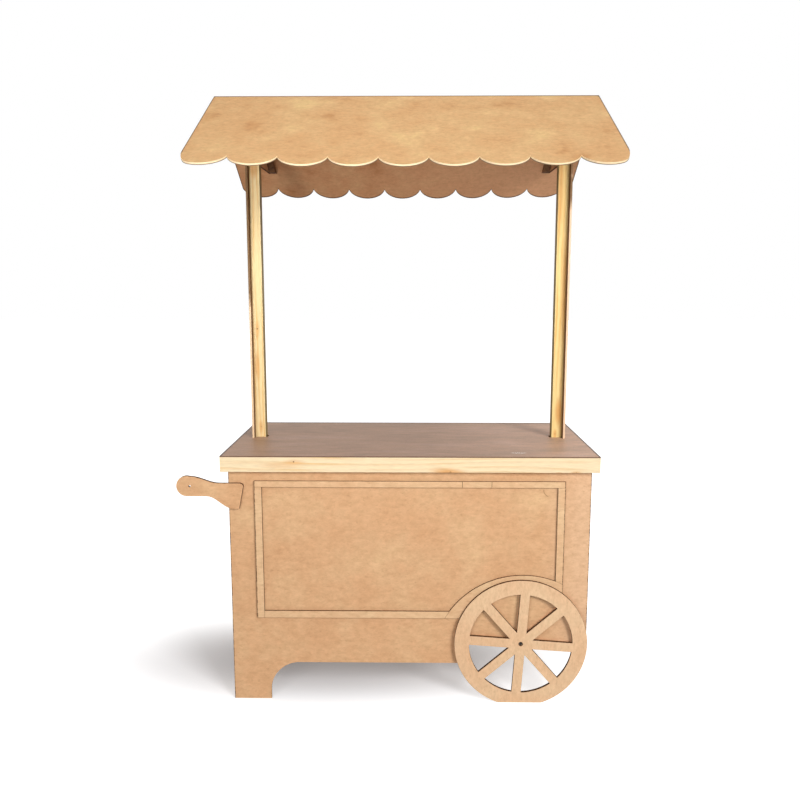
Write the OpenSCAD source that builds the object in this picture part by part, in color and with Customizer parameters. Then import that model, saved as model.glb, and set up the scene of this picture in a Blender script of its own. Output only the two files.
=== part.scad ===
// Barrow stall: a small display cart of raw fibreboard and pine laths.
// A cabinet with one foot and one false wheel carries a counter with a lath edge.
// Two posts stand in sockets inside the cabinet and carry a gabled, scalloped roof.
// Every piece is drawn from the middle of the counter's front edge, at floor level:
// X to the right, Y to the back, Z up. placed() then moves it to the part's own origin,
// which lies on the floor under the middle of the whole stall.

/* [Counter] */
// Width of the counter over its edge laths
counter_w = 1000; // [800:10:1400]
// Depth of the counter over its edge laths
counter_d = 504; // [420:2:700]
// Height of the counter's top above the floor
counter_h = 690; // [600:5:900]
// Thickness of the hardboard sheet on the counter
sheet_t = 3; // [2:0.5:6]
// Height of the pine edge laths, and width of every other lath
lath_h = 40; // [30:1:60]
// Thickness of the pine laths
lath_t = 15; // [10:0.5:22]
// Gap between the edge laths and the cabinet that they drop over
lid_play = 2.5; // [0.5:0.5:6]
// Distance of each flat stiffener under the sheet from the middle
stiffener_x = 165; // [60:5:260]

/* [Cabinet] */
// Thickness of the fibreboard panels
board_t = 6; // [4:0.5:12]
// Height of the panels' lower edges above the floor
rail_h = 107; // [90:1:150]
// Width of each foot that is left on a panel
foot_w = 102; // [90:1:150]
// Radius of the curve from a foot to the rail
foot_r = 80; // [20:1:85]
// Height of the wheel notch in the front panel
notch_h = 163; // [155:1:169]
// Distance from the wheel's centre to the notch's upright edge
notch_reach = 150; // [140:1:160]
// Side of the square pine battens in the cabinet's corners
corner_t = 20; // [15:1:30]
// Height of the cleats under the bottom board
cleat_h = 15; // [10:1:30]

/* [Moulding] */
// Width of the flat moulding strips on the front panel
strip_w = 20; // [12:0.5:30]
// Width of the top strip
top_strip_w = 17; // [12:0.5:30]
// Width of the open seams where the top strip is pieced together
seam_w = 0.4; // [0.2:0.1:1]
// Distance of the left seam from the middle of the panel
left_seam = 140; // [100:1:180]
// Distance of the right seam from the middle of the panel
right_seam = 218; // [190:1:300]
// Thickness of the moulding strips, on which the wheel lies
strip_t = 6; // [4:0.5:9]
// How much longer the radius of the arched strip is than the wheel's
arch_more = 61; // [50:1:75]
// How far the arched strip's centre lies below the wheel's
arch_drop = 50; // [40:1:55]
// How far it lies to the right of the wheel's
arch_right = 4; // [0:1:8]
// How far the arched strip runs in under the wheel's rim
arch_lap = 20; // [5:1:35]
// Distance from the front panel's sides to the moulding frame
frame_side = 69; // [40:1:100]
// Distance from the edge lath down to the moulding frame
frame_top = 27; // [10:1:60]
// Distance from the rail's lower edge up to the moulding frame
frame_bottom = 131; // [70:1:140]

/* [Wheel] */
// Radius of the wheel disc
wheel_r = 180; // [165:1:190]
// Height of the wheel's centre, below which the rim is sawn flat on the floor
hub_h = 170; // [168:1:175]
// Thickness of the wheel disc
wheel_t = 9; // [6:0.5:12]
// Width of the rim
rim_w = 40; // [25:1:60]
// Width of the spokes
spoke_w = 26; // [16:1:36]
// Number of spokes, always even
spokes = 8; // [4:2:12]
// Angle by which the spokes are turned clockwise
spoke_turn = 4; // [0:1:20]
// Diameter of the packing disc behind the wheel
packing_d = 50; // [30:1:60]

/* [Handle] */
// Distance that the handle stands out past the cabinet
handle_out = 137; // [100:1:180]
// Thickness of the handle board
handle_t = 9; // [6:0.5:12]
// Width of the handle where it lies on the front panel
handle_lap = 41; // [34:1:60]
// Distance from the edge lath down to the handle's upper edge
handle_drop = 33; // [2:1:120]
// Radius of the round grip
grip_r = 27.5; // [20:0.5:35]
// Height of the grip's centre below the handle's upper edge
grip_drop = 8; // [0:1:20]
// Height of the handle where it is fixed
root_h = 70; // [50:1:90]
// Diameter of the hole through the grip
grip_hole = 6; // [4:0.5:12]

/* [Posts] */
// Distance from the counter's ends to the posts' outer faces
post_inset = 44; // [40:1:120]
// Distance that both posts stand to the left of the middle
post_shift = 4; // [0:1:8]
// Distance from the counter's middle back to the posts' middle
post_back = 28; // [0:1:60]
// Width of the pine post battens across the stall
batten_w = 30; // [24:1:45]
// Depth of the pine post battens from front to back
batten_d = 32; // [24:1:45]
// Distance that the fibreboard strips stand out in front of the battens
strip_proud = 18; // [5:1:30]
// Length of post that is held in its socket, below the counter
post_seat = 170; // [100:5:250]
// Clearance round the posts in the sockets and the counter slots
post_play = 0.8; // [0.3:0.1:2]
// Width of the notches at two corners of each post, where the counter's slot was sawn too wide
slot_slip = 6; // [2:0.5:9]
// Height of the block that stops each post
stop_h = 40; // [20:1:80]
// Gap that is left under the posts' feet
stop_play = 0.3; // [0.1:0.1:1]

/* [Roof] */
// Distance from the counter's ends to the ends of the roof
roof_over = 35.5; // [10:0.5:80]
// Distance that the roof stands to the left of the middle
roof_shift = 12; // [0:1:15]
// Height of the ridge above the floor
ridge_h = 1654; // [1400:2:2100]
// Slope of both roof panels from level
slope = 29.5; // [20:0.5:40]
// Length of the front roof panel down the slope, over its scallops
front_len = 478; // [380:1:600]
// Length of the back roof panel down the slope, over its scallops
back_len = 469; // [380:1:600]
// Width of each scallop along the front panel
front_scallop_w = 120; // [100:1:200]
// Width that is cut off the front panel's first scallop
scallop_cut = 8; // [0:1:30]
// Width of each scallop along the back panel
back_scallop_w = 116; // [100:1:200]
// Depth of the scallops
scallop_drop = 47; // [20:1:48]
// Height of the gable plates from their lower edge to their point
gable_h = 167; // [120:1:200]
// Length of the gable plates that is held in the slotted posts
gable_seat = 110; // [60:1:115]
// Distance from the posts' inner faces to the gable plates, and width of the roof cleats
gable_in = 19; // [12:0.5:22]
// Height of the cleats under the roof panels
roof_cleat_h = 20; // [12:1:25]
// Thickness of the glue under the roof panels
glue_t = 0.1; // [0.05:0.05:0.5]

/* [Screws] */
// Diameter of the screw shanks
screw_d = 4; // [3:0.1:5]
// Diameter of the screw heads
head_d = 9; // [7:0.1:9.6]
// Height of the screw heads
head_h = 2.6; // [1.5:0.1:4]
// Clearance of the screws in their holes, all round
hole_play = 0.1; // [0.05:0.05:0.5]
// Clearance of the wheel screw's head in its sunk hole, all round
sink_play = 1.3; // [0.3:0.1:2]

/* [Hidden] */
$fn = 96;
LEFT = -1;
RIGHT = 1;
OVERCUT = 1;

// Counter and cabinet
overhang = lath_t + lid_play;
panel_top = counter_h - sheet_t;
lath_low = panel_top - lath_h;
cabinet_w = counter_w - 2 * overhang;
cabinet_x = cabinet_w / 2;
cabinet_front = overhang;
cabinet_back = counter_d - overhang;
inside_x = cabinet_x - board_t;
inside_front = cabinet_front + board_t;
batten_x = inside_x - corner_t;
floor_low = notch_h + lath_h;
floor_top = floor_low + board_t;

// Wheel
wheel_x = cabinet_x - wheel_r;
wheel_back = cabinet_front - strip_t;
wheel_front = wheel_back - wheel_t;
notch_x = wheel_x - notch_reach;

// Moulding frame
frame_x = cabinet_x - frame_side;
frame_high = lath_low - frame_top;
frame_low = rail_h + frame_bottom;
arch_r = wheel_r + arch_more;
arch_x = wheel_x + arch_right;
arch_z = hub_h - arch_drop;

// Posts
post_out = counter_w / 2 - post_inset;
post_w = board_t + batten_w;
post_y = counter_d / 2 + post_back;
batten_front = post_y - batten_d / 2;
batten_back = post_y + batten_d / 2;
strip_front = batten_front - strip_proud;
post_low = counter_h - post_seat;
socket_high = panel_top - lath_t;
socket_low = post_low - stop_h;

// Roof
roof_w = counter_w + 2 * roof_over;
ridge_under = ridge_h - board_t / cos(slope);
gable_low = ridge_under - gable_h;
post_high = gable_low + gable_seat;
gable_x = post_out - post_w + gable_in;
ridge_batten_high = ridge_under - lath_t / 2 * tan(slope) - glue_t;

// Middle of the whole stall, from the middle of the counter's front edge
mid_x = (counter_w / 2 + roof_over - roof_shift - cabinet_x - handle_out) / 2;
mid_y = post_y + (back_len - front_len) * cos(slope) / 2;

MDF = "#DDB187";
HARDBOARD = "#A88C79";
PINE = "#F2DCAE";
STEEL = "#4A4541";

// Moves a piece to the part's origin
module placed() translate([-mid_x, -mid_y, 0]) children();

// Box from its lowest corner to its highest
module block(low, high) translate(low) cube(high - low);

// Board that stands across the stall, from y back: its outline is in X and Z
module across(y, t) translate([0, y + t, 0]) rotate([90, 0, 0]) linear_extrude(t) children();

// Board that stands from front to back, from x to the right: its outline is in Y and Z
module endways(x, t) translate([x, 0, 0]) rotate([90, 0, 90]) linear_extrude(t) children();

// Box in the right half of the stall, or its mirror image in the left half
module sided(side) mirror([side == LEFT ? 1 : 0, 0, 0]) children();

// The same for what stands on the posts' own middle
module post_sided(side) translate([-post_shift, 0, 0]) sided(side) children();

// Opening under a rail of height h, with round upper corners
module foot_cut(w, h) {
    translate([0, -OVERCUT]) square([w, h - foot_r + OVERCUT]);
    translate([foot_r, -OVERCUT]) square([w - 2 * foot_r, h + OVERCUT]);
    for (x = [foot_r, w - foot_r]) translate([x, h - foot_r]) circle(foot_r);
}

// Hole for a screw that runs along Y
module screw_hole(x, y, z, depth) {
    translate([x, y, z]) rotate([-90, 0, 0]) cylinder(d = screw_d + 2 * hole_play, h = depth);
}

// Screw with its head's outer face at the origin and its shank along +Z
module screw(depth) {
    difference() {
        rotate_extrude() polygon([
            [0, 0], [head_d * 0.42, 0], [head_d / 2, head_h * 0.45], [head_d / 2, head_h],
            [screw_d / 2, head_h], [screw_d / 2, depth - screw_d], [0, depth]
        ]);
        for (turn = [0, 90]) rotate(turn)
            translate([-head_d * 0.28, -head_d * 0.05, -OVERCUT])
                cube([head_d * 0.56, head_d * 0.1, head_h * 0.5 + OVERCUT]);
    }
}

// Front panel, with one foot, an arched rail and a notch behind the wheel
module front_panel() color(MDF) placed() difference() {
    across(cabinet_front, board_t) difference() {
        translate([-cabinet_x, 0]) square([cabinet_w, panel_top]);
        translate([foot_w - cabinet_x, 0])
            foot_cut(notch_x + foot_r + cabinet_x - foot_w, rail_h);
        translate([notch_x, -OVERCUT]) square([cabinet_x - notch_x + OVERCUT, notch_h + OVERCUT]);
    }
    screw_hole(wheel_x, cabinet_front - OVERCUT, hub_h, board_t + 2 * OVERCUT);
    handle_holes(cabinet_front - OVERCUT, board_t + 2 * OVERCUT);
}

// Side panels, with a foot at the back and, on the left, one at the front.
// The right one ends above the wheel notch, so that nothing shows through the wheel.
module side_panel(side) color(MDF) placed() {
    front_foot = side == LEFT ? foot_w - board_t : -foot_r - OVERCUT;
    endways(side == LEFT ? -cabinet_x : inside_x, board_t) difference() {
        translate([inside_front, 0]) square([cabinet_back - inside_front, panel_top]);
        translate([inside_front + front_foot, 0])
            foot_cut(cabinet_back - inside_front - front_foot - foot_w,
                     side == LEFT ? rail_h : notch_h);
    }
}

// Bottom board, notched round the four corner battens
module bottom_board() color(MDF) placed() difference() {
    block([-inside_x, inside_front, floor_low], [inside_x, cabinet_back, floor_top]);
    for (side = [LEFT, RIGHT], y = [inside_front, cabinet_back - corner_t])
        sided(side) block([batten_x - hole_play, y - hole_play, floor_low - OVERCUT],
                          [inside_x + OVERCUT, y + corner_t + hole_play, floor_top + OVERCUT]);
}

// Lath between the corner battens, on edge
module cross_lath(y, z) block([-batten_x, y, z], [batten_x, y + lath_t, z + lath_h]);

// Lath behind the front panel, which carries the wheel and the bottom board
module front_rail() color(PINE) placed() difference() {
    cross_lath(inside_front, notch_h);
    screw_hole(wheel_x, inside_front - OVERCUT, hub_h, lath_t + 2 * OVERCUT);
}

module back_top_rail() color(PINE) placed() cross_lath(cabinet_back - lath_t, lath_low);

module back_bottom_rail() color(PINE) placed() cross_lath(cabinet_back - lath_t, notch_h);

// Cleat on a side panel, which carries the bottom board
module bottom_cleat(side) color(PINE) placed() sided(side)
    block([inside_x - lath_t, inside_front + corner_t, floor_low - cleat_h],
          [inside_x, cabinet_back - corner_t, floor_low]);

// Square batten in a corner of the cabinet, from low up to the counter
module corner_batten(side, y, low) sided(side)
    block([batten_x, y, low], [inside_x, y + corner_t, panel_top]);

// The left front batten also holds the handle's screws
module front_left_batten() color(PINE) placed() difference() {
    corner_batten(LEFT, inside_front, 0);
    handle_holes(inside_front - OVERCUT, corner_t + 2 * OVERCUT);
}

module front_right_batten() color(PINE) placed() corner_batten(RIGHT, inside_front, notch_h);

module back_batten(side) color(PINE) placed() corner_batten(side, cabinet_back - corner_t, 0);

// Section of a post, grown by the play: the batten and the strip on its outer side
module post_section(play) {
    translate([post_out - post_w - play, batten_front - play])
        square([batten_w + 2 * play, batten_d + 2 * play]);
    translate([post_out - board_t - play, strip_front - play])
        square([board_t + 2 * play, batten_back - strip_front + 2 * play]);
}

// Hardboard sheet of the counter, with a slot for each post.
// The slots were sawn too wide in two places, which show as dark notches at the post's front corners.
module counter_sheet() color(HARDBOARD) placed() difference() {
    block([-counter_w / 2, 0, panel_top], [counter_w / 2, counter_d, counter_h]);
    for (side = [LEFT, RIGHT]) post_sided(side)
        translate([0, 0, panel_top - OVERCUT]) linear_extrude(sheet_t + 2 * OVERCUT) {
            post_section(post_play);
            translate([post_out - post_w - slot_slip, batten_front])
                square([2 * slot_slip, batten_d * 0.7]);
            translate([post_out - board_t - slot_slip, batten_front - slot_slip * 1.5])
                square([slot_slip, slot_slip * 3]);
        }
}

module counter_front_lath() color(PINE) placed()
    block([-counter_w / 2, 0, lath_low], [counter_w / 2, lath_t, panel_top]);

module counter_back_lath() color(PINE) placed()
    block([-counter_w / 2, counter_d - lath_t, lath_low], [counter_w / 2, counter_d, panel_top]);

module counter_end_lath(side) color(PINE) placed() sided(side)
    block([counter_w / 2 - lath_t, lath_t, lath_low],
          [counter_w / 2, counter_d - lath_t, panel_top]);

// Lath laid flat under the sheet, between the front panel and the back rail
module stiffener(side) color(PINE) placed() sided(side)
    block([stiffener_x - lath_h / 2, inside_front, panel_top - lath_t],
          [stiffener_x + lath_h / 2, cabinet_back - lath_t, panel_top]);

// Moulding strip on the front panel
module strip(low, high) across(cabinet_front - strip_t, strip_t)
    translate(low) square(high - low);

module top_moulding() color(MDF) placed()
    difference() {
        strip([-frame_x, frame_high - top_strip_w], [frame_x, frame_high]);
        for (x = [left_seam, right_seam])
            block([x - seam_w / 2, 0, frame_high - top_strip_w - OVERCUT],
                  [x + seam_w / 2, cabinet_front, frame_high + OVERCUT]);
    }

module left_moulding() color(MDF) placed()
    strip([-frame_x, frame_low], [strip_w - frame_x, frame_high - top_strip_w]);

// The right and bottom strips are cut to the arched strip
module right_moulding() color(MDF) placed() across(cabinet_front - strip_t, strip_t) difference() {
    translate([frame_x - strip_w, hub_h]) square([strip_w, frame_high - top_strip_w - hub_h]);
    translate([arch_x, arch_z]) circle(arch_r);
}

module bottom_moulding() color(MDF) placed() across(cabinet_front - strip_t, strip_t) difference() {
    translate([strip_w - frame_x, frame_low]) square([wheel_x + frame_x - strip_w, strip_w]);
    translate([arch_x, arch_z]) circle(arch_r);
}

// Arched strip round the wheel, cut off in line with the frame
module arch_moulding() color(MDF) placed() across(cabinet_front - strip_t, strip_t)
    intersection() {
        difference() {
            translate([arch_x, arch_z]) circle(arch_r);
            translate([wheel_x, hub_h]) circle(wheel_r - arch_lap);
        }
        translate([-cabinet_x, frame_low]) square([cabinet_x + frame_x, arch_r]);
    }

// False wheel: a disc with sawn sectors, flat where it stands on the floor
module wheel() color(MDF) placed() difference() {
    across(wheel_front, wheel_t) intersection() {
        translate([wheel_x, hub_h]) difference() {
            circle(wheel_r, $fn = 180);
            difference() {
                circle(wheel_r - rim_w, $fn = 180);
                for (i = [0 : spokes / 2 - 1]) rotate(i * 360 / spokes - spoke_turn)
                    square([2 * wheel_r, spoke_w], center = true);
            }
        }
        translate([wheel_x - wheel_r, 0]) square(2 * wheel_r);
    }
    screw_hole(wheel_x, wheel_front - OVERCUT, hub_h, wheel_t + 2 * OVERCUT);
    translate([wheel_x, wheel_front - OVERCUT, hub_h]) rotate([-90, 0, 0])
        cylinder(d = head_d + 2 * sink_play, h = wheel_t / 2 + OVERCUT);
}

// Disc that holds the wheel off the moulding
module wheel_packing() color(MDF) placed() difference() {
    translate([wheel_x, wheel_back, hub_h]) rotate([-90, 0, 0])
        cylinder(d = packing_d, h = strip_t);
    screw_hole(wheel_x, wheel_back - OVERCUT, hub_h, strip_t + 2 * OVERCUT);
}

module wheel_screw() color(STEEL) placed()
    translate([wheel_x, wheel_front + wheel_t / 2 - head_h, hub_h]) rotate([-90, 0, 0])
        screw(head_h + wheel_t / 2 + strip_t + board_t + lath_t);

// Smooth step from one point to another, level at both ends
function eased(from, to) = let (steps = 10) [
    for (i = [0 : steps]) let (t = i / steps)
        [from[0] + (to[0] - from[0]) * t, from[1] + (to[1] - from[1]) * (1 - cos(180 * t)) / 2]
];

// Handle: a round grip whose neck swells to a deep root on the front panel
module handle() color(MDF) placed() difference() {
    across(cabinet_front - handle_t, handle_t) difference() {
        union() {
            translate([grip_x, grip_z]) circle(grip_r);
            polygon(concat(
                eased([grip_x + grip_r * 0.25, grip_z + grip_r * 0.96], [-cabinet_x - 22, handle_top]),
                [[root_x - 8, handle_top], [root_x - 2, handle_top - 3], [root_x, handle_top - 8]],
                [[root_x - 12, handle_top - root_h]],
                eased([-cabinet_x + 14, handle_top - root_h], [grip_x + 52, grip_z - grip_r]),
                [[grip_x, grip_z - grip_r]]
            ));
        }
        translate([grip_x + hole_off, grip_z]) circle(d = grip_hole);
    }
    handle_holes(cabinet_front - handle_t * 0.75, handle_t);
}

handle_top = lath_low - handle_drop;
grip_x = grip_r - cabinet_x - handle_out;
hole_off = 8;
grip_z = handle_top - grip_drop;
root_x = handle_lap - cabinet_x;

// The two screws of the handle come from inside, through the corner batten
handle_screw_x = board_t + corner_t / 2 - cabinet_x;
handle_screw_z = [for (share = [0.3, 0.7]) handle_top - root_h * share];

module handle_holes(y, depth) for (z = handle_screw_z) screw_hole(handle_screw_x, y, z, depth);

module handle_screws() color(STEEL) placed() for (z = handle_screw_z)
    translate([handle_screw_x, inside_front + corner_t + head_h, z]) rotate([90, 0, 0])
        screw(head_h + corner_t + board_t + handle_t / 2);

// Pocket that a post stands in: room for the post and its play
pocket_in = post_out - post_w - post_play;
pocket_out = post_out + post_play;
pocket_front = strip_front - post_play;
pocket_back = batten_back + post_play;

// Inner face of the side panel, from the posts' own middle
function panel_face(side) = inside_x + side * post_shift;

// Two upright laths, in front of the post and behind it
module socket_cheeks(side) color(PINE) placed() post_sided(side)
    for (y = [pocket_front - lath_t, pocket_back])
        block([pocket_in, y, socket_low], [panel_face(side), y + lath_t, socket_high]);

// Piece that fills the space between the post and the side panel
module socket_packer(side) color(PINE) placed() post_sided(side)
    block([pocket_out, pocket_front, socket_low], [panel_face(side), pocket_back, socket_high]);

// Board that closes the pocket towards the middle of the cabinet
module socket_plate(side) color(MDF) placed() post_sided(side)
    block([pocket_in - board_t, pocket_front - lath_t, socket_low],
          [pocket_in, pocket_back + lath_t, socket_high]);

// Block that the post stands on
module socket_stop(side) color(PINE) placed() post_sided(side)
    block([pocket_in, pocket_front, socket_low], [pocket_out, pocket_back, post_low - stop_play]);

// Screws from the post's inner face into the gable plate
post_screw_z = [for (share = [0.3, 0.7]) gable_low + gable_seat * share];
post_screw_depth = gable_in;

module post_screw_places() for (z = post_screw_z)
    translate([post_out - post_w, post_y, z]) rotate([0, 90, 0]) children();

// Pine post, slotted at the top for the gable plate
module post(side) color(PINE) placed() post_sided(side) difference() {
    block([post_out - post_w, batten_front, post_low],
          [post_out - board_t, batten_back, post_high]);
    block([gable_x - hole_play, batten_front - OVERCUT, gable_low],
          [gable_x + board_t + hole_play, batten_back + OVERCUT, post_high + OVERCUT]);
    post_screw_places() cylinder(d = screw_d + 2 * hole_play, h = post_screw_depth);
}

// Fibreboard strip on the post's outer side
module post_strip(side) color(MDF) placed() post_sided(side)
    block([post_out - board_t, strip_front, post_low], [post_out, batten_back, post_high]);

module post_screws() color(STEEL) placed() for (side = [LEFT, RIGHT]) post_sided(side)
    post_screw_places() translate([0, 0, -head_h])
        screw(head_h + post_screw_depth + board_t * 0.75);

// Outline of a roof panel, with the slope running down from the X axis
module roof_outline(len, scallop_w, cut) {
    scallop_r = (pow(scallop_w / 2, 2) + pow(scallop_drop, 2)) / (2 * scallop_drop);
    intersection() {
        translate([-roof_w / 2, -len - OVERCUT]) square([roof_w, len + OVERCUT]);
        union() {
            translate([-roof_w / 2, scallop_drop + OVERCUT - len])
                square([roof_w, len - scallop_drop - OVERCUT]);
            for (i = [0 : ceil((roof_w + cut) / scallop_w) - 1])
                translate([scallop_w * (i + 0.5) - cut - roof_w / 2, scallop_r - len])
                    circle(scallop_r);
        }
    }
}

// Roof panel that slopes down to the front, mitred at the ridge
module roof_panel(len, scallop_w, cut) difference() {
    rotate([slope, 0, 0]) translate([0, 0, -board_t])
        linear_extrude(board_t) roof_outline(len, scallop_w, cut);
    translate([-roof_w, 0, -len]) cube([2 * roof_w, len, 2 * len]);
}

module front_roof() color(MDF) placed() translate([-roof_shift, post_y, ridge_h])
    roof_panel(front_len, front_scallop_w, scallop_cut);

module back_roof() color(MDF) placed() translate([-roof_shift, post_y, ridge_h])
    mirror([0, 1, 0]) roof_panel(back_len, back_scallop_w, 0);

// Triangular plate under the roof, let into the top of a post
module gable(side) color(MDF) placed() post_sided(side) difference() {
    endways(gable_x, board_t) translate([post_y, ridge_under]) polygon([
        [0, -glue_t], [(glue_t - gable_h) / tan(slope), -gable_h],
        [(gable_h - glue_t) / tan(slope), -gable_h]
    ]);
    post_screw_places() cylinder(d = screw_d + 2 * hole_play, h = batten_w);
}

// Lath on edge under the ridge, from one gable plate to the other
module ridge_batten() color(PINE) placed() translate([-post_shift, 0, 0])
    block([-gable_x, post_y - lath_t / 2, ridge_batten_high - lath_h],
          [gable_x, post_y + lath_t / 2, ridge_batten_high]);

// Cleat in the corner between a gable plate and a roof panel, cut level with the plate
module roof_cleat(side) post_sided(side) intersection() {
    translate([gable_x - gable_in, post_y, ridge_under]) rotate([slope, 0, 0])
        translate([0, -front_len, -roof_cleat_h - glue_t])
            cube([gable_in, front_len - roof_cleat_h * 1.3, roof_cleat_h]);
    block([gable_x - gable_in, post_y - front_len, gable_low], [gable_x, post_y, ridge_under]);
}

module front_cleat(side) color(PINE) placed() roof_cleat(side);

module back_cleat(side) color(PINE) placed()
    translate([0, 2 * post_y, 0]) mirror([0, 1, 0]) roof_cleat(side);

front_panel();
side_panel(LEFT);  // left_side_panel
side_panel(RIGHT);  // right_side_panel
bottom_board();
front_rail();
back_top_rail();
back_bottom_rail();
bottom_cleat(LEFT);  // left_bottom_cleat
bottom_cleat(RIGHT);  // right_bottom_cleat
front_left_batten();
front_right_batten();
back_batten(LEFT);  // back_left_batten
back_batten(RIGHT);  // back_right_batten
counter_sheet();
counter_front_lath();
counter_back_lath();
counter_end_lath(LEFT);  // counter_left_lath
counter_end_lath(RIGHT);  // counter_right_lath
stiffener(LEFT);  // left_stiffener
stiffener(RIGHT);  // right_stiffener
top_moulding();
left_moulding();
right_moulding();
bottom_moulding();
arch_moulding();
wheel();
wheel_packing();
wheel_screw();
handle();
handle_screws();
socket_cheeks(LEFT);  // left_socket_cheeks
socket_packer(LEFT);  // left_socket_packer
socket_plate(LEFT);  // left_socket_plate
socket_stop(LEFT);  // left_socket_stop
socket_cheeks(RIGHT);  // right_socket_cheeks
socket_packer(RIGHT);  // right_socket_packer
socket_plate(RIGHT);  // right_socket_plate
socket_stop(RIGHT);  // right_socket_stop
post(LEFT);  // left_post
post(RIGHT);  // right_post
post_strip(LEFT);  // left_post_strip
post_strip(RIGHT);  // right_post_strip
post_screws();
front_roof();
back_roof();
gable(LEFT);  // left_gable
gable(RIGHT);  // right_gable
ridge_batten();
front_cleat(LEFT);  // left_front_cleat
back_cleat(LEFT);  // left_back_cleat
front_cleat(RIGHT);  // right_front_cleat
back_cleat(RIGHT);  // right_back_cleat
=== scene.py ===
"""Barrow stall of raw fibreboard and bare pine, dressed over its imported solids.

Every length is in metres, in the solids' own frame: X to the right, Y to the back, Z up.
"""

import math

import bpy
import numpy as np
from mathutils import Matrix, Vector


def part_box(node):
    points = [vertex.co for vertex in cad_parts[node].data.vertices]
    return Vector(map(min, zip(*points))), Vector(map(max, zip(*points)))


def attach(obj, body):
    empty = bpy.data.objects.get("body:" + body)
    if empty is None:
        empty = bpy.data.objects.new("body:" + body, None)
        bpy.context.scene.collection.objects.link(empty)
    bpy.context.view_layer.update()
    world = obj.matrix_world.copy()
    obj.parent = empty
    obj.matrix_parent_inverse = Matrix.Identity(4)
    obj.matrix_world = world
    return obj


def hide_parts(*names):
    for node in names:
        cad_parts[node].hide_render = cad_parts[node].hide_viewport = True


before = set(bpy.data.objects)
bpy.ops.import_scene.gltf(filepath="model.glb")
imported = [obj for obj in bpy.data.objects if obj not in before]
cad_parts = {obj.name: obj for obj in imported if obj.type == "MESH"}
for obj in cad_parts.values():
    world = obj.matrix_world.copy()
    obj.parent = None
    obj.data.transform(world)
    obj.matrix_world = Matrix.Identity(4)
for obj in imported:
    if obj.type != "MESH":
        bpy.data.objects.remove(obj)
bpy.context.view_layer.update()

MM = 0.001
X, Y, Z = (1, 0, 0), (0, 1, 0), (0, 0, 1)

# The roof board's thickness, its slope, the middle of the ridge and the ridge's length
BOARD = 6 * MM
SLOPE = math.radians(29.5)
RIDGE = np.array([0.036, 0.003917, 1.654])
ROOF_WIDTH = 1.071
# How deep a scallop is, how wide a rounded outer corner, and how far in the browning fades out
DROP = 47 * MM
CORNER = 23 * MM
SCORCHED = 7 * MM
# How deep a roof panel sags between its gables, and how far its slight waves swing
SAG = 5.5 * MM
WAVE = 0.35 * MM

# The colours of a laser's cut, of the browned border beside it, and of a pale and a dull saw cut
LASER = "#54341B"
BROWNED = "#4A2E18"
SAWN = "#FBDDB4"
DULL_SAWN = "#B98A5C"

# Turns of a pattern whose own X axis lies along a lath, and the lath's direction for each turn
ALONG_X, ALONG_Y, ALONG_Z = (0, 0, 0), (0, 0, math.pi / 2), (0, math.pi / 2, 0)
GRAIN_OF = {ALONG_X: X, ALONG_Y: Y, ALONG_Z: Z}

# The camera fitted to the photograph: its place, how far it looks down and to the left in
# radians, and its focal length and sensor width in millimetres
EYE = (0.04976, -2.35031, 1.15352)
DOWN, LEFT = 0.1501, 0.0129
FOCAL_LENGTH, SENSOR = 36.42, 36


# Nodes

def linear(colour):
    """The linear colour of an sRGB hex value."""
    channels = np.array([int(colour[i:i + 2], 16) for i in (1, 3, 5)]) / 255
    lit = np.where(channels <= 0.04045, channels / 12.92, ((channels + 0.055) / 1.055) ** 2.4)
    return (*lit, 1.0)


def add(tree, kind, inputs=None, stops=None, **settings):
    """Adds one shader node. inputs maps its sockets to plain values or to the sockets that feed
    them, stops are a ramp's places and colours, and settings are the node's own properties."""
    node = tree.nodes.new("ShaderNode" + kind)
    for name, value in settings.items():
        setattr(node, name, value)
    for name, value in (inputs or {}).items():
        if isinstance(value, bpy.types.NodeSocket):
            tree.links.new(value, node.inputs[name])
        else:
            node.inputs[name].default_value = value
    for i, (place, colour) in enumerate(stops or ()):
        elements = node.color_ramp.elements
        stop = elements[i] if i < len(elements) else elements.new(place)
        stop.position, stop.color = place, colour
    return node


def mapped(tree, place, **settings):
    """A place that is first stretched by Scale, then turned by Rotation and moved by Location."""
    return add(tree, "Mapping", {"Vector": place, **settings}).outputs[0]


def part(tree, place, axis):
    """One coordinate of a place or a direction."""
    return add(tree, "SeparateXYZ", {0: place}).outputs[axis]


def noise(tree, place, scale, detail, roughness=0.5):
    """A cloudy pattern from 0 to 1 with about scale clouds in a metre."""
    return add(tree, "TexNoise", {"Vector": place, "Scale": scale, "Detail": detail,
                                  "Roughness": roughness}).outputs[0]


def number(tree, operation, *values):
    """One step of arithmetic on numbers."""
    return add(tree, "Math", dict(enumerate(values)), operation=operation).outputs[0]


def vector(tree, operation, *values):
    """One step of arithmetic on colours or places, whose outcome is one too."""
    return add(tree, "VectorMath", dict(enumerate(values)), operation=operation).outputs[0]


def measure(tree, operation, *values):
    """A length, a distance or a dot product."""
    return add(tree, "VectorMath", dict(enumerate(values)), operation=operation).outputs["Value"]


def ranged(tree, value, low, high, least=0.0, most=1.0, **settings):
    """A value whose range from low to high is laid over the range from least to most."""
    return add(tree, "MapRange", {"Value": value, 1: low, 2: high, 3: least, 4: most},
               **settings).outputs[0]


def ramp(tree, place, *stops):
    """The colour that the stops, each a place from 0 to 1 and a colour, give at a place."""
    return add(tree, "ValToRGB", {"Fac": place}, stops=stops).outputs[0]


def mixed(tree, share, under, over, **settings):
    """The colour under with a share of the colour over laid on it."""
    return add(tree, "Mix", {0: share, 6: under, 7: over}, data_type="RGBA",
               **settings).outputs[2]


def from_plane(tree, place, x):
    """How far a place is from the upright plane at x."""
    return number(tree, "ABSOLUTE", number(tree, "SUBTRACT", part(tree, place, "X"), x))


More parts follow.
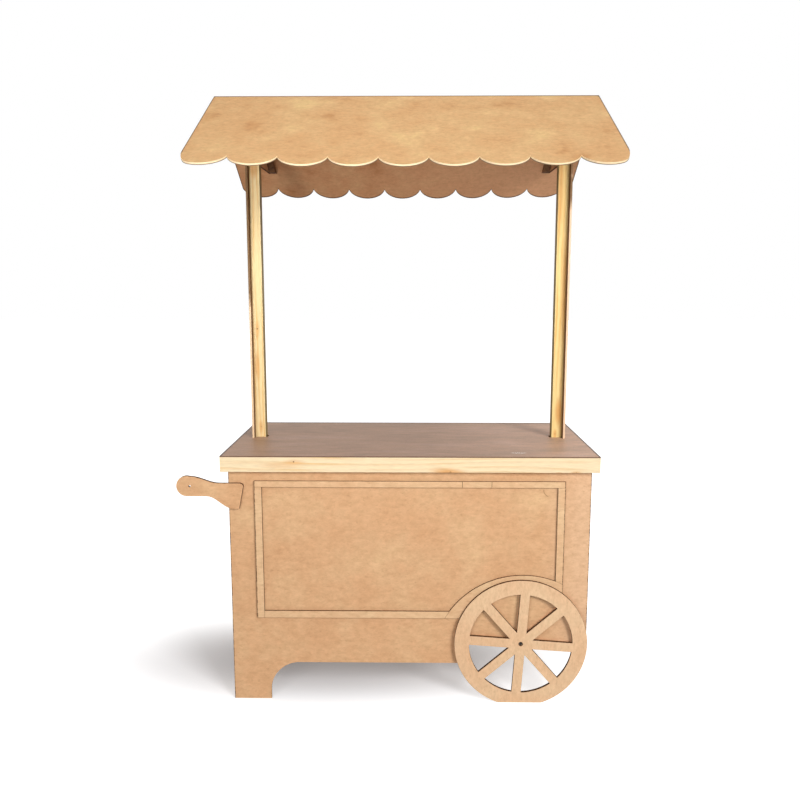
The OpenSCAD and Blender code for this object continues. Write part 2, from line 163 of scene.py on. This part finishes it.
def turned_from(tree, flat, still, fully):
    """How far the surface is turned away from the direction flat, either way: 0 where the cosine
    is still or more, and 1 where it is fully or less."""
    facing = measure(tree, "DOT_PRODUCT", add(tree, "NewGeometry").outputs["Normal"], flat)
    return ranged(tree, number(tree, "ABSOLUTE", facing), still, fully)


# Materials

def material(name, **sockets):
    """A new material with its shader, whose plain sockets are set here."""
    made = bpy.data.materials.new(name)
    made.use_nodes = True
    shader = made.node_tree.nodes["Principled BSDF"]
    for socket, value in sockets.items():
        shader.inputs[socket.replace("_", " ")].default_value = value
    return made, made.node_tree, shader


def dress(tree, shader, colour, height, strength, depth):
    """Gives a shader its colour and its bumps, which rise with the pattern height."""
    bump = add(tree, "Bump", {"Height": height, "Strength": strength, "Distance": depth})
    tree.links.new(colour, shader.inputs["Base Color"])
    tree.links.new(bump.outputs[0], shader.inputs["Normal"])


def raw_fibreboard(name, flat, grain=(1, 1, 1), shift=(0, 0, 0), tone=1.0, cut=DULL_SAWN,
                   tint=(1, 1, 1), cloudy=1.0, scorch=False, scratch=None, glued_and_shaded=None, dark_above=None,
                   painted_light_along_x=None, under=None, sides=None):
    """Raw medium-density fibreboard, sanded and left bare.

    The eye sees a dull tan face with faint warm and grey clouds, fine fibre mottling, short
    sanding streaks, a few darker flecks of bark, and a cut edge whose colour tells the saw from
    the laser. flat is the board's flat direction, grain squeezes the streaks along it, tone is
    how bright the board is, and cloudy is how much stronger than usual the clouds are.
    scorch reads the browned border from the piece, and scratch is the middle of a curved scratch.
    glued is the direction of a face with a dark glue stain and painted shade, sooty is a height
    above which the board is darker, faded is where along X painted light makes it paler and to
    what, under is the tint of painted shade on its lower face, and sides are the places along X of
    two cut sides whose arrises the laser has browned."""
    made, tree, shader = material(name, Roughness=0.8, IOR=1.46, Specular_IOR_Level=0.2)
    here = add(tree, "TexCoord").outputs["Object"]
    normal = add(tree, "NewGeometry").outputs["Normal"]
    place = mapped(tree, here, Location=shift)
    along = mapped(tree, place, Scale=grain)
    # Clouds 100 mm wide, streaks 22 mm wide, mottling 9 mm wide, fibres 3 mm long, bark 5 mm long
    clouds = noise(tree, place, 10.0, 3.0, 0.6)
    streaks = noise(tree, along, 46.0, 4.0, 0.65)
    mottle = noise(tree, along, 110.0, 3.0, 0.7)
    fibres = noise(tree, place, 350.0, 1.0)
    bark = noise(tree, along, 210.0, 0.0)
    spread = ranged(tree, clouds, 0.5 - 0.5 / cloudy, 0.5 + 0.5 / cloudy)
    board = ramp(tree, spread, (0.1, linear("#CD9869")), (0.3, linear("#DCAB7F")),
                 (0.48, linear("#DFB084")), (0.56, linear("#DFB286")),
                 (0.7, linear("#E3B88B")), (0.9, linear("#E9C492")))
    board = vector(tree, "MULTIPLY", board, tint)
    # Painted light: the board turns paler along X
    if painted_light_along_x:
        start, end, colour = painted_light_along_x
        pale = ranged(tree, part(tree, here, "X"), start, end)
        board = mixed(tree, pale, board, linear(colour), clamp_result=True)
    level = number(tree, "MULTIPLY", ranged(tree, streaks, 0.3, 0.7, 0.96, 1.04),
                   ranged(tree, mottle, 0.3, 0.7, 0.9, 1.09))
    level = number(tree, "MULTIPLY", level, ranged(tree, bark, 0.22, 0.3, 0.92, 1.0))
    level = number(tree, "MULTIPLY", level, tone)
    # Dark marks are redder than the board, and pale ones greyer
    level = ramp(tree, ranged(tree, level, 0.75, 1.25), (0.0, (0.77, 0.71, 0.66, 1)),
                 (0.5, (1, 1, 1, 1)), (1.0, (1.22, 1.25, 1.29, 1)))
    board = vector(tree, "MULTIPLY", board, level)
    # Painted shade: the lower face takes a darker, redder tint
    if under:
        below = ranged(tree, measure(tree, "DOT_PRODUCT", normal, flat), -0.2, -0.8)
        board = mixed(tree, below, board, vector(tree, "MULTIPLY", board, under))
    cut_light = tuple(min(1.0, 1.12 * c) for c in linear(cut)[:3]) + (1.0,)
    edge = ramp(tree, mottle, (0.35, linear(cut)), (0.65, cut_light))
    board = mixed(tree, turned_from(tree, flat, 0.97, 0.6), board, edge)
    if scorch:
        border = add(tree, "Attribute", attribute_name="scorch").outputs["Fac"]
        board = mixed(tree, ranged(tree, border, 0.55, 0.82, 0.0, 0.9), board, linear(BROWNED))
    # A dark glue stain together with painted shade on the faces that look one way
    if glued_and_shaded:
        glue_and_shade = ranged(tree, measure(tree, "DOT_PRODUCT", normal, glued_and_shaded), 0.5, 0.9, 0.0, 0.85)
        board = mixed(tree, glue_and_shade, board, linear("#5A3A1C"))
    # The board turns darker above a ragged height
    if dark_above:
        # The clouds, half of 0.6 high on average, make the height ragged
        high = number(tree, "MULTIPLY_ADD", clouds, 0.6, part(tree, here, "Z"))
        darkening = ranged(tree, high, dark_above + 0.27, dark_above + 0.36, 0.0, 0.85)
        board = mixed(tree, darkening, board, linear("#6B4A26"))
    if sides:
        # Broken brown lines, 2 mm wide
        middle, half = sum(sides) / 2, (sides[1] - sides[0]) / 2
        line = ranged(tree, from_plane(tree, here, middle), half - 2.4 * MM, half - 1.6 * MM)
        broken = ranged(tree, mottle, 0.4, 0.55, 0.95, 0.45)
        board = mixed(tree, number(tree, "MULTIPLY", line, broken), board, linear(LASER))
    if scratch:
        # A thin dark arc of 20 mm radius, cut off where it leaves a ball of 12 mm
        centre = tuple(np.add(scratch, (17 * MM, 0, 11 * MM)))
        off = number(tree, "SUBTRACT", measure(tree, "DISTANCE", here, centre), 20 * MM)
        near = ranged(tree, number(tree, "ABSOLUTE", off), 1.8 * MM, 0.2 * MM)
        ball = ranged(tree, measure(tree, "DISTANCE", here, scratch), 14 * MM, 9 * MM, 0.0, 0.6)
        board = mixed(tree, number(tree, "MULTIPLY", near, ball), board, linear("#8A5A34"))
    dress(tree, shader, board, fibres, 0.3, 0.2 * MM)
    return made


def bare_pine(name, turn=ALONG_X, shift=(0, 0, 0), early="#F7E2B8", late="#E3B36C", rings=9 * MM,
              contrast=1.0, knots=(), sawn=None, strip_shadow_at=None):
    """Planed bare pine.

    The eye sees cream early wood with soft orange bands of late wood along the lath, bent where
    the board was sawn near a knot, and now and then a small brown knot. turn lays the pattern's
    X axis, the tree's own, along the lath, and rings is how far the growth rings are apart. Each
    knot is its place, its radius, how many times longer its orange halo is along the lath, and
    how strong the halo and the knot are. sawn is a dark colour painted as shade on the faces that
    look along X, and seam is where along X a band of painted shadow lies beside a proud strip."""
    made, tree, shader = material(name, Roughness=0.62, IOR=1.5, Specular_IOR_Level=0.3)
    here = add(tree, "TexCoord").outputs["Object"]
    place = mapped(tree, mapped(tree, here, Rotation=turn), Location=shift)
    slow = mapped(tree, place, Scale=(0.12, 1, 1))
    # The growth rings are cylinders round a pith that wanders, seen where the lath cuts them
    section = vector(tree, "MULTIPLY", place, (0, 1, 1))
    radius = measure(tree, "DISTANCE", section, (0, 0.031, 0.047))
    sway = ranged(tree, noise(tree, slow, 14.0, 1.0), 0.3, 0.7, -9 * MM, 9 * MM, clamp=False)
    ring = number(tree, "MULTIPLY", number(tree, "ADD", radius, sway), 1 / rings)
    band = ramp(tree, number(tree, "FRACT", ring), (0.0, linear(early)), (0.4, linear(early)),
                (0.82, linear(late)), (0.92, linear(late)), (1.0, linear(early)))
    shade = ranged(tree, noise(tree, slow, 45.0, 2.0), 0.38, 0.66, 0.05, contrast)
    wood = mixed(tree, shade, linear(early), band)
    for spot, size, long, strength, dark in knots:
        # An orange halo that fades along the grain, and the dark knot itself in its middle
        squeeze = [1 / long if c else 1 for c in GRAIN_OF[turn]]
        far = measure(tree, "DISTANCE", mapped(tree, here, Scale=squeeze),
                      tuple(np.multiply(spot, squeeze)))
        halo = ranged(tree, far, 4.5 * size, size, 0.0, strength, interpolation_type="SMOOTHSTEP")
        wood = mixed(tree, halo, wood, linear("#DE9A4E"))
        near = measure(tree, "DISTANCE", here, spot)
        core = ranged(tree, near, 1.2 * size, 0.6 * size, 0.0, dark)
        wood = mixed(tree, core, wood, linear("#7A4A22"))
    # Painted shade: the faces that look along X are darkened
    if sawn:
        facing = part(tree, add(tree, "NewGeometry").outputs["Normal"], "X")
        dull = ranged(tree, number(tree, "ABSOLUTE", facing), 0.5, 0.8, 0.0, 0.8)
        wood = mixed(tree, dull, wood, linear(sawn))
    # A painted shadow of the proud strip: a dark band on the batten beside it
    if strip_shadow_at:
        strip_shadow = ranged(tree, from_plane(tree, here, strip_shadow_at), 4.5 * MM, 1.5 * MM, 0.0, 0.75)
        wood = mixed(tree, strip_shadow, wood, linear("#6B441E"))
    # Pores, 3 mm wide and 22 mm long
    pores = noise(tree, slow, 380.0, 1.0)
    wood = vector(tree, "MULTIPLY", wood, ranged(tree, pores, 0.3, 0.7, 0.94, 1.04))
    dress(tree, shader, wood, pores, 0.25, 0.2 * MM)
    return made


def smooth_hardboard(name):
    """Hardboard, pressed smooth on its upper side.

    The eye sees a grey-brown sheet with soft olive and violet clouds, long scuffs from
    handling, a low sheen at a flat angle, and a darker sawn edge."""
    made, tree, shader = material(name, Roughness=0.5, IOR=1.5, Specular_IOR_Level=0.4)
    here = add(tree, "TexCoord").outputs["Object"]
    stretched = mapped(tree, here, Scale=(0.35, 1, 1))
    # Clouds about 90 mm wide, scuffs 20 mm wide and specks 4 mm wide
    clouds = noise(tree, stretched, 11.0, 4.0, 0.6)
    scuffs = noise(tree, stretched, 48.0, 3.0)
    specks = noise(tree, here, 260.0, 1.0)
    sheet = ramp(tree, clouds, (0.32, linear("#AE8D74")), (0.5, linear("#BB967B")),
                 (0.68, linear("#C29F88")))
    # Painted light: its right end is paler
    pale = ranged(tree, part(tree, here, "X"), 0.1, 0.5)
    pale = vector(tree, "MULTIPLY_ADD", pale, (0.5, 0.58, 0.7), (1, 1, 1))
    sheet = vector(tree, "MULTIPLY", sheet, pale)
    level = number(tree, "MULTIPLY", ranged(tree, scuffs, 0.3, 0.7, 0.92, 1.08),
                   ranged(tree, specks, 0.3, 0.7, 0.93, 1.07))
    sheet = vector(tree, "MULTIPLY", sheet, level)
    # A broken pale scuff, 36 mm long, near the front
    long = 1 / 0.45
    far = measure(tree, "DISTANCE", mapped(tree, here, Scale=(1 / long, 1, 1)),
                  (0.340 / long, -0.228, 0.692))
    scuff = number(tree, "MULTIPLY", ranged(tree, far, 11 * MM, 6 * MM),
                   ranged(tree, specks, 0.44, 0.52))
    sheet = mixed(tree, scuff, sheet, linear("#F2EAE2"))
    # The sheet's border is darker at the back and the sides
    sheet_middle, sheet_half = 0.048, 0.4975
    side = ranged(tree, from_plane(tree, here, sheet_middle), sheet_half - 4 * MM,
                  sheet_half - 1 * MM, 0.0, 0.85)
    back = ranged(tree, part(tree, here, "Y"), 0.212, 0.219, 0.0, 0.85)
    sheet = mixed(tree, number(tree, "MAXIMUM", side, back), sheet, linear("#46342A"))
    sheet = mixed(tree, turned_from(tree, Z, 0.98, 0.4), sheet, linear("#6E4F3A"))
    dress(tree, shader, sheet, specks, 0.2, 0.15 * MM)
    return made


def zinc_plated_steel(name):
    """Zinc-plated steel screws, turned and cross-slotted, dulled by handling.

    The eye sees a dark, slightly warm grey metal with a broken shine. The darkness is partly
    painted shade of the sunk screw holes."""
    made, tree, shader = material(name, Metallic=1.0)
    dull = noise(tree, add(tree, "TexCoord").outputs["Object"], 900.0, 2.0)
    # The dark tint is partly painted shade, for the sunk screw holes
    tint = ramp(tree, dull, (0.35, linear("#4E4944")), (0.65, linear("#746E67")))
    tree.links.new(tint, shader.inputs["Base Color"])
    tree.links.new(ranged(tree, dull, 0.3, 0.7, 0.3, 0.5), shader.inputs["Roughness"])
    return made


def slope_axis(side):
    """The flat direction of a roof panel: side is -1 for the front and 1 for the back."""
    return (0, side * math.sin(SLOPE), math.cos(SLOPE))


def across(left, right):
    """The places along X where the CAD piece on the left starts and the one on the right ends."""
    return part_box(left)[0][0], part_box(right)[1][0]


# The front panel turns paler towards its right end with painted light
front_board = raw_fibreboard(
    "raw MDF board, front panel", Y, (0.55, 1, 1), tone=0.97, cut=LASER,
    scratch=(0.407, -0.2586, 0.586), painted_light_along_x=(0.4, 0.5, "#E6BB93"),
    sides=across("front_panel", "front_panel"))
strip_board = raw_fibreboard(
    "raw MDF board, moulding strips", Y, (0.4, 1, 1), (0.31, 0.2, 0.13), 1.04, LASER,
    (1.01, 1.08, 1.13), sides=across("left_moulding", "right_moulding"))
wheel_board = raw_fibreboard(
    "raw MDF board, laser-cut wheel", Y, (1, 1, 0.5), (0.77, 0.1, 0.4), 1.09, LASER,
    (1.01, 1.11, 1.22))
handle_board = raw_fibreboard(
    "raw MDF board, laser-cut handle", Y, (0.5, 1, 1), (1.3, 0.6, 0.2), 0.96, LASER)
side_board = raw_fibreboard(
    "raw MDF board, side panels", X, (1, 0.4, 1), (0.2, 1.1, 0.7))
# The post strips' inner faces take painted shade with a glue stain, and the strips turn darker
# towards the top
left_strip_board = raw_fibreboard(
    "raw MDF board, left post strip", X, (1, 1, 0.4), (0.6, 0.1, 1.2), cut="#EBCBA4",
    glued_and_shaded=(1, 0, 0), dark_above=1.02)
right_strip_board = raw_fibreboard(
    "raw MDF board, right post strip", X, (1, 1, 0.4), (0.6, 0.1, 1.2), cut="#EFCDAB",
    glued_and_shaded=(-1, 0, 0), dark_above=1.36)
# Painted shade: the gable plates' low tone stands in for the shade under the roof
plate_board = raw_fibreboard(
    "raw MDF board, gable plates", X, (1, 1, 0.5), (0.5, 0.3, 1.9), 0.8, LASER)
shelf_board = raw_fibreboard(
    "raw MDF board, bottom board", Z, (0.4, 1, 1), (0.9, 0.4, 0.1))
front_roof_board = raw_fibreboard(
    "raw MDF board, front roof", slope_axis(-1), (0.75, 1, 1), (0.4, 0.9, 0.3), cut=SAWN,
    tint=(0.92, 0.93, 0.82), cloudy=1.75, scorch=True)
# The back roof's lower face is darkened with painted shade, and painted light makes it paler
# towards the right
back_roof_board = raw_fibreboard(
    "raw MDF board, back roof", slope_axis(1), (0.75, 1, 1), (1.4, 0.2, 0.8), cut=LASER,
    cloudy=2.0, scorch=True, under=(0.85, 0.74, 0.68), painted_light_along_x=(-0.1, 0.45, "#F2C49A"))
lath_pine = bare_pine(
    "planed pine lath, along the front", ALONG_X, (0.1, 0.02, 0.013), "#F5DEB6", "#E9BF84",
    13 * MM, 0.8, [((-0.2567, -0.2761, 0.6750), 2.1 * MM, 4, 0.35, 0.9),
                   ((0.1555, -0.2761, 0.6480), 3.0 * MM, 4, 0.65, 0.6),
                   ((0.132, -0.2761, 0.652), 3.2 * MM, 3, 0.4, 0.0),
                   ((-0.29, -0.2761, 0.664), 3 * MM, 6, 0.3, 0.0),
                   ((0.485, -0.2761, 0.6470), 1.6 * MM, 3, 0.5, 0.7),
                   ((0.44, -0.2761, 0.6465), 1.0 * MM, 3, 0.4, 0.6)])
side_pine = bare_pine("planed pine lath, along the sides", ALONG_Y, (0.3, 0.1, 0.02))
# The posts' side faces and the band beside each strip take painted shade
left_post_pine = bare_pine(
    "planed pine, left post", ALONG_Z, (0.2, 0.005, 0.01), "#F7DDA6", "#E8B66A",
    11 * MM, 0.7, [((-0.393, -0.0121, 1.007), 2.0 * MM, 4, 0.4, 0.9),
                   ((-0.395, -0.0121, 0.985), 1.0 * MM, 4, 0.3, 0.7),
                   ((-0.396, -0.0121, 0.9), 2.2 * MM, 6, 0.6, 0.0),
                   ((-0.392, -0.0121, 1.456), 4 * MM, 2, 0.6, 0.0),
                   ((-0.389, -0.0121, 0.72), 2 * MM, 3, 0.5, 0.3)],
    sawn="#7A6534", strip_shadow_at=-0.4075)
right_post_pine = bare_pine(
    "planed pine, right post", ALONG_Z, (0.2, 0.011, 0.02), "#F7D994", "#E0A248",
    11 * MM, 0.8, [((0.483, -0.0121, 0.766), 3.2 * MM, 4, 0.75, 0.0),
                   ((0.488, -0.0121, 1.12), 2.2 * MM, 22, 0.6, 0.0),
                   ((0.474, -0.0121, 0.70), 1.5 * MM, 3, 0.6, 0.5),
                   ((0.47, -0.0121, 1.4), 3 * MM, 14, 0.5, 0.0)],
    sawn="#6A5A2E", strip_shadow_at=0.494)
inner_pine = bare_pine("planed pine lath, inside", ALONG_Z, (0.9, 0.3, 0.05))
# Painted shade: the cleats' dark colours stand in for the shade under the roof
shaded_cleat_pine = bare_pine(
    "sawn pine cleat, dark as painted shade", ALONG_Y, (0.5, 0.2, 0.4), "#7A5434", "#583A22")
counter_sheet = smooth_hardboard("smooth hardboard sheet")
screw_steel = zinc_plated_steel("zinc-plated steel screw")


# Surfaces

def shell(name, rows):
    """A closed piece from a grid of points whose first index runs round a section and whose
    second runs along the piece. The section closes on itself, and each end is closed by a fan
    round its middle. Every quad joins (i, j), (i + 1, j), (i + 1, j + 1) and (i, j + 1)."""
    around, along = rows.shape[:2]
    i, j = np.meshgrid(np.arange(around), np.arange(along - 1), indexing="ij")
    k = (i + 1) % around
    quads = np.stack([i * along + j, k * along + j, k * along + j + 1, i * along + j + 1], -1)
    points = rows.reshape(-1, 3)
    ends = []
    for column, turned in ((0, 1), (along - 1, -1)):
        ring = np.arange(around) * along + column
        middle = len(points)
        points = np.vstack([points, points[ring].mean(0)])
        pairs = np.stack([ring, np.roll(ring, -1)], 1)[:, ::turned]
        ends += [(middle, int(b), int(a)) for a, b in pairs]
    mesh = bpy.data.meshes.new(name)
    mesh.from_pydata(points.tolist(), [], quads.reshape(-1, 4).tolist() + ends)
    mesh.update()
    made = bpy.data.objects.new(name, mesh)
    bpy.context.scene.collection.objects.link(made)
    return made


def scallops(length, width, cut, rounding):
    """The lower edge of a roof panel as two arrays: places along the ridge, and how far down the
    slope the board reaches there. Each scallop is an arc of radius r = (width² / 4 + drop²) /
    2 drop, the board reaches length - r + r cos a where the arc's angle is a, and cut is missing
    from the first scallop. Each outer corner is a quarter of an ellipse, rounding deep."""
    radius = (width ** 2 / 4 + DROP ** 2) / (2 * DROP)
    spread = math.asin(width / 2 / radius)
    angles = np.linspace(-spread, spread, 25)
    half = ROOF_WIDTH / 2
    middles = width * (np.arange(math.ceil((ROOF_WIDTH + cut) / width)) + 0.5) - cut - half
    x = (middles[:, None] + radius * np.sin(angles)).ravel()
    reach = np.tile(length - radius + radius * np.cos(angles), len(middles))
    # The corners take places of their own, close together where their ellipse is steep
    near = np.array([0, 0.4, 1.2, 2.5, 5, 8, 12, 17, CORNER / MM]) * MM
    ends = np.concatenate([near - half, half - near[::-1]])
    inside = np.abs(x) < half - 1.02 * CORNER
    every = np.concatenate([ends, x[inside]])
    reaches = np.concatenate([np.interp(ends, x, reach), reach[inside]])
    order = np.argsort(every, kind="stable")
    x, reach = every[order], reaches[order]
    short = np.clip(1 - (half - np.abs(x)) / CORNER, 0, 1)
    return x, reach - rounding * (1 - np.sqrt(1 - short ** 2))


def roof_panel(name, side, length, width, cut, rounding, burnt):
    """A thin board that slopes from the ridge to a scalloped eave and sags between its gables.

    A point lies at x along the ridge, from 0 at its left end to 1, t of the way down to the eave,
    and h above the board's upper face. The board sinks by SAG sin(pi x) t², less near its left
    end, and by up to twice WAVE besides. The section is the upper face from ridge to eave and the
    lower face back, and the lower face starts where an upright mitre cuts it. The scorch attribute
    is 1 on the outline and 0 further in. At the eave it is 1 on the lower face, and burnt on the
    upper one."""
    places, reach = scallops(length, width, cut, rounding)
    border = 15 * MM / length
    steps = np.concatenate([[0, border], np.linspace(0.04, 0.95, 37), [1 - border, 1]])
    x = (places / ROOF_WIDTH + 0.5)[None, :]

    def face(height, start):
        down = start + (reach[None, :] - start) * steps[:, None]
        t = down / length
        sag = SAG * np.sin(math.pi * x) * (1 - np.exp(-(x / 0.12) ** 2)) * t ** 2
        h = height - sag - WAVE * (1 + np.sin(9 * x + 2) * np.sin(5 * t + side)) * t
        y = RIDGE[1] + side * (down * math.cos(SLOPE) + h * math.sin(SLOPE))
        z = RIDGE[2] - down * math.sin(SLOPE) + h * math.cos(SLOPE)
        return np.stack([np.broadcast_to(RIDGE[0] + places, y.shape), y, z], -1)

    rows = np.concatenate([face(0.0, 0.0), face(-BOARD, BOARD * math.tan(SLOPE))[::-1]])
    outer = np.clip(1 - (ROOF_WIDTH / 2 - np.abs(places)) / SCORCHED, 0, 1)
    above = np.tile(outer, (len(steps), 1))
    above[0] = 1.0
    below = above.copy()
    above[-1] = np.maximum(above[-1], burnt)
    below[-1] = 1.0
    scorch = np.concatenate([above, below[::-1]])
    piece = shell(name, rows if side < 0 else rows[::-1])
    attribute = piece.data.attributes.new("scorch", "FLOAT", "POINT")
    values = np.ones(len(piece.data.vertices))
    values[:scorch.size] = scorch.ravel()
    attribute.data.foreach_set("value", values)
    return piece


front_roof = roof_panel("scalloped_front_roof", side=-1, length=478 * MM, width=120 * MM,
                        cut=8 * MM, rounding=42 * MM, burnt=0)
back_roof = roof_panel("scalloped_back_roof", side=1, length=469 * MM, width=116 * MM,
                       cut=0, rounding=0, burnt=1)
for piece, node, board in ((front_roof, "front_roof", front_roof_board),
                           (back_roof, "back_roof", back_roof_board)):
    piece.data.materials.append(board)
    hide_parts(node)
    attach(piece, "canopy")

# Which finish each CAD piece takes
finishes = {
    front_board: ["front_panel"],
    strip_board: ["top_moulding", "left_moulding", "right_moulding", "bottom_moulding",
                  "arch_moulding"],
    wheel_board: ["wheel", "wheel_packing"],
    handle_board: ["handle"],
    side_board: ["left_side_panel", "right_side_panel", "left_socket_plate",
                 "right_socket_plate"],
    left_strip_board: ["left_post_strip"],
    right_strip_board: ["right_post_strip"],
    plate_board: ["left_gable", "right_gable"],
    shelf_board: ["bottom_board"],
    lath_pine: ["counter_front_lath", "counter_back_lath", "front_rail", "back_top_rail",
                "back_bottom_rail", "ridge_batten"],
    side_pine: ["counter_left_lath", "counter_right_lath", "left_stiffener", "right_stiffener",
                "left_bottom_cleat", "right_bottom_cleat"],
    shaded_cleat_pine: ["left_front_cleat", "left_back_cleat", "right_front_cleat", "right_back_cleat"],
    left_post_pine: ["left_post"],
    right_post_pine: ["right_post"],
    inner_pine: ["front_left_batten", "front_right_batten", "back_left_batten",
                 "back_right_batten", "left_socket_cheeks", "left_socket_packer",
                 "left_socket_stop", "right_socket_cheeks", "right_socket_packer",
                 "right_socket_stop"],
    counter_sheet: ["counter_sheet"],
    screw_steel: ["wheel_screw", "handle_screws", "post_screws"],
}
for finish, names in finishes.items():
    for name in names:
        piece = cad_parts[name]
        for slot in piece.material_slots:
            slot.material = finish
        if finish is not screw_steel:
            piece.modifiers.new("one skin", "WELD").merge_threshold = 0.01 * MM
            whole = piece.modifiers.new("whole faces", "DECIMATE")
            whole.decimate_type = "DISSOLVE"
            whole.angle_limit = math.radians(0.5)
            worn = piece.modifiers.new("worn arris", "BEVEL")
            worn.limit_method = "ANGLE"
            worn.angle_limit = math.radians(40)
            worn.width = 0.8 * MM
            worn.segments = 2


# Light, floor and camera

def aimed(place, target):
    """The rotation that points an object's -Z from place to target."""
    return Vector(np.subtract(target, place)).to_track_quat("-Z", "Y").to_euler()


def softbox(name, place, target, size, power, spread=180):
    """A square soft light whose beam spreads over so many degrees."""
    lamp = bpy.data.lights.new(name, "AREA")
    lamp.size = size
    lamp.energy = power
    lamp.spread = math.radians(spread)
    made = bpy.data.objects.new(name, lamp)
    made.location = place
    made.rotation_euler = aimed(place, target)
    bpy.context.scene.collection.objects.link(made)


softbox("key softbox", (2.8, -4.4, 2.9), (0, 0, 0.8), size=1.8, power=190)
softbox("fill softbox", (-1.7, -4.8, 2.0), (0, 0, 0.8), size=2.4, power=71)
softbox("overhead softbox", (0.0, 0.2, 3.9), (0, 0, 0.6), size=2.0, power=8)
# The narrow beam lifts only the roof, the gables and the upper ends of the posts
softbox("low softbox", (-0.9, -3.4, 0.8), (-0.1, 0.1, 1.65), size=1.0, power=2.2, spread=28)

# The studio is white where it is seen, and dimmer where it only lights
world = bpy.data.worlds.new("white studio")
bpy.context.scene.world = world
world.use_nodes = True
tree = world.node_tree
rays = add(tree, "LightPath").outputs
seen = number(tree, "MAXIMUM", rays["Is Camera Ray"], rays["Is Glossy Ray"])
seen = number(tree, "MAXIMUM", seen, rays["Is Transmission Ray"])
sky = tree.nodes["Background"]
sky.inputs["Color"].default_value = (1, 1, 1, 1)
tree.links.new(ranged(tree, seen, 0.0, 1.0, 0.3, 1.0), sky.inputs["Strength"])

floor_mesh = bpy.data.meshes.new("floor")
floor_mesh.from_pydata([(-12, -8, 0), (12, -8, 0), (12, 20, 0), (-12, 20, 0)], [], [(0, 1, 2, 3)])
floor = bpy.data.objects.new("floor", floor_mesh)
bpy.context.scene.collection.objects.link(floor)
floor_paint, tree, shader = material("white paper floor", Roughness=0.9, Specular_IOR_Level=0.0)
direct = add(tree, "LightPath").outputs["Is Camera Ray"]
paper = mixed(tree, direct, linear("#B8B8BA"), linear("#E3E2E4"))
tree.links.new(paper, shader.inputs["Base Color"])
# The paper glows to plain white a step away from the barrow. Inside the fade, an ellipse 0.8 m
# by 0.34 m whose middle is at (-0.2, -0.02), the dimmer paper adds painted shade to the barrow's
# own shadow
wide, deep = 0.8, 0.34
far = mapped(tree, add(tree, "TexCoord").outputs["Object"],
             Location=(0.2 / wide, 0.02 / deep, 0), Scale=(1 / wide, 1 / deep, 1))
far = ranged(tree, measure(tree, "LENGTH", far), 0.28, 1.27, 0.17, 1.0,
             interpolation_type="SMOOTHSTEP")
glow = add(tree, "Emission", {"Color": (1, 1, 1, 1),
                              "Strength": number(tree, "MULTIPLY", direct, far)})
both = add(tree, "AddShader", {0: shader.outputs[0], 1: glow.outputs[0]})
tree.links.new(both.outputs[0], tree.nodes["Material Output"].inputs["Surface"])
floor_mesh.materials.append(floor_paint)

lens = bpy.data.cameras.new("camera")
lens.sensor_width = SENSOR
lens.lens = FOCAL_LENGTH
camera = bpy.data.objects.new("camera", lens)
camera.location = EYE
camera.rotation_euler = (math.pi / 2 - DOWN, 0, LEFT)
bpy.context.scene.collection.objects.link(camera)
bpy.context.scene.camera = camera
bpy.context.scene.view_settings.view_transform = "Standard"
